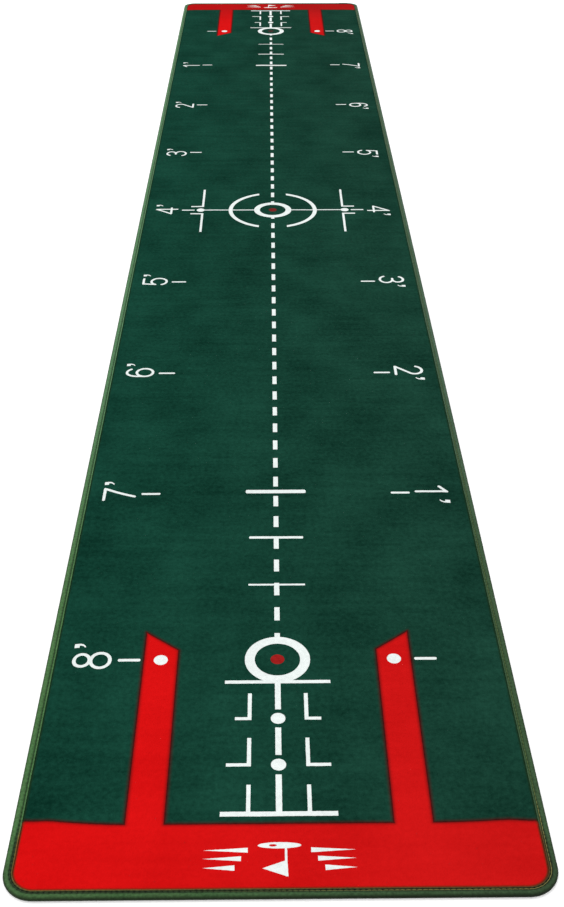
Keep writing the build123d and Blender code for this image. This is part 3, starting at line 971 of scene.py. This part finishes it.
def sewn(name, side):
    lapEnds = sorted((stations[0][0].x, stations[lapSteps - 1][0].x))
    onLap = [spot.y > 0 and inward.y < -0.99 and lapEnds[0] < spot.x < lapEnds[1]
             for spot, inward in seamStations]
    spots = [(spot.x, spot.y, side["level"] + lifted * side["lapLift"])
             for (spot, inward), lifted in zip(seamStations, onLap)]
    headings = [math.atan2(-inward.x, inward.y) for spot, inward in seamStations]
    return grown(guide(name + "Guide", spots, True, {"heading": headings}), stitchTree, {
        "Length": seam["length"], "Rise": side["rise"], "Thread radius": side["radius"],
        "Slant": seam["slant"], "Seed": side["seed"], "Material": threadFinish}, name, 60)


stitchesTop = sewn("seamStitchesTop", seam["top"])
stitchesUnder = sewn("seamStitchesUnder", seam["under"])
print("seam sewn:", len(seamStations), "stitches a side")

# the rubber backing: thinner at the rim, where the tape folds under it, and studded for grip
rubber = {
    # the edge of the slab as (inset, height) in millimetres
    "profile": ((0.62, 2.0), (0.86, 1.35), (1.5, 0.82), (2.3, 0.64), (8.3, 0.64), (8.75, 0.34)),
    "sideStep": 60 * mm,
    "cornerSteps": 8,
    "studPitch": 16 * mm,
    "studMargin": 19 * mm,
    "studs": {"Foot radius": 2.1 * mm, "Crown radius": 1.3 * mm, "Height": 0.7 * mm},
}


def makeRubber():
    loops = []
    for inset, level in rubber["profile"]:
        outline = outlineStations(inset * mm, rubber["sideStep"], rubber["cornerSteps"])
        loops.append([(spot.x, spot.y, level * mm) for spot, inward in outline])
    count = len(loops[0])
    faces = [tuple(range(count)), tuple(range(len(loops) * count - 1, (len(loops) - 1) * count - 1, -1))]
    for ring in range(len(loops) - 1):
        for index in range(count):
            onward = (index + 1) % count
            faces.append((ring * count + index, (ring + 1) * count + index,
                          (ring + 1) * count + onward, ring * count + onward))
    slab = newMesh("rubberSlab", [spot for loop in loops for spot in loop], faces, rubberFinish)
    pitch = rubber["studPitch"]
    width = 2 * (mat["halfWidth"] - rubber["studMargin"]) - pitch / 2
    length = 2 * (mat["halfLength"] - rubber["studMargin"])
    across, rows = int(width / pitch) + 1, int(length / (pitch * rowShare)) + 1
    return grown(slab, makeStudTree(), {
        "Width": width, "Length": length, "Columns": across, "Rows": rows, "Stagger": pitch / 2,
        "Material": rubberFinish, **rubber["studs"]}, "rubberBacking", 40)


rubberBacking = makeRubber()
print("rubber moulded:", len(rubberBacking.data.polygons), "faces")

groundCloth = nodes["ground_cloth"]
groundCloth.material_slots[0].material = clothMaterial()

# what each piece stands for and rides on
for label, piece in pilePieces.items():
    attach(piece, "root")
for name in printNodes:
    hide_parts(name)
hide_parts("green_field", "green_islands")
for piece, slotName, stoodFor in (
        (edgeBinding, "binding_tape", "edge_binding"), (bindingLap, "binding_tape", None),
        (stitchesTop, "seam_thread", "needle_thread"), (stitchesUnder, "seam_thread", "bobbin_thread"),
        (rubberBacking, "rubber_underside", "rubber_backing")):
    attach(piece, "root")
    if stoodFor:
        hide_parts(stoodFor)

# floor, light and camera
studio = {
    "floorHalf": 20.0,
    "floorLevel": -0.3 * mm,
    "skyStrength": 1.0,
    "sunStrength": 0.8,
    "sunSpread": math.radians(55),
    "sunTurn": (math.radians(-24), math.radians(-20), 0),
    "lens": 48.88,
    "sensor": 36,
    "clip": (0.02, 60),
    "eye": (-0.00752, -2.19203, 0.93703),
    "down": 0.59699,  # radians below level, then turned left and tilted
    "left": -0.0112,
    "tilt": 0.00133,
}
half = studio["floorHalf"]
floorCorners = [(x * half, y * half, studio["floorLevel"]) for x, y in ((-1, -1), (1, -1), (1, 1), (-1, 1))]
floor = newMesh("paleFloor", floorCorners, [(0, 1, 2, 3)], floorMaterial())
world = bpy.data.worlds.new("studio")
world.use_nodes = True
sky = world.node_tree.nodes["Background"]
sky.inputs["Color"].default_value = plain
sky.inputs["Strength"].default_value = studio["skyStrength"]
scene = bpy.context.scene
scene.world = world
scene.view_settings.view_transform = "Standard"
lamp = bpy.data.lights.new("softSun", "SUN")
lamp.energy = studio["sunStrength"]
lamp.angle = studio["sunSpread"]
sun = bpy.data.objects.new("softSun", lamp)
sun.rotation_euler = studio["sunTurn"]
scene.collection.objects.link(sun)

lens = bpy.data.cameras.new("viewCamera")
lens.lens = studio["lens"]
lens.sensor_width = studio["sensor"]
lens.clip_start, lens.clip_end = studio["clip"]
camera = bpy.data.objects.new("viewCamera", lens)
scene.collection.objects.link(camera)
down, left, tilt = studio["down"], studio["left"], studio["tilt"]
forward = Vector((-math.sin(left) * math.cos(down), math.cos(left) * math.cos(down), -math.sin(down)))
level = Vector((math.cos(left), math.sin(left), 0))
upright = level.cross(forward)
right = level * math.cos(tilt) + upright * math.sin(tilt)
up = upright * math.cos(tilt) - level * math.sin(tilt)
camera.matrix_world = Matrix.Translation(studio["eye"]) @ Matrix((right, up, -forward)).transposed().to_4x4()
scene.camera = camera

bpy.context.view_layer.update()
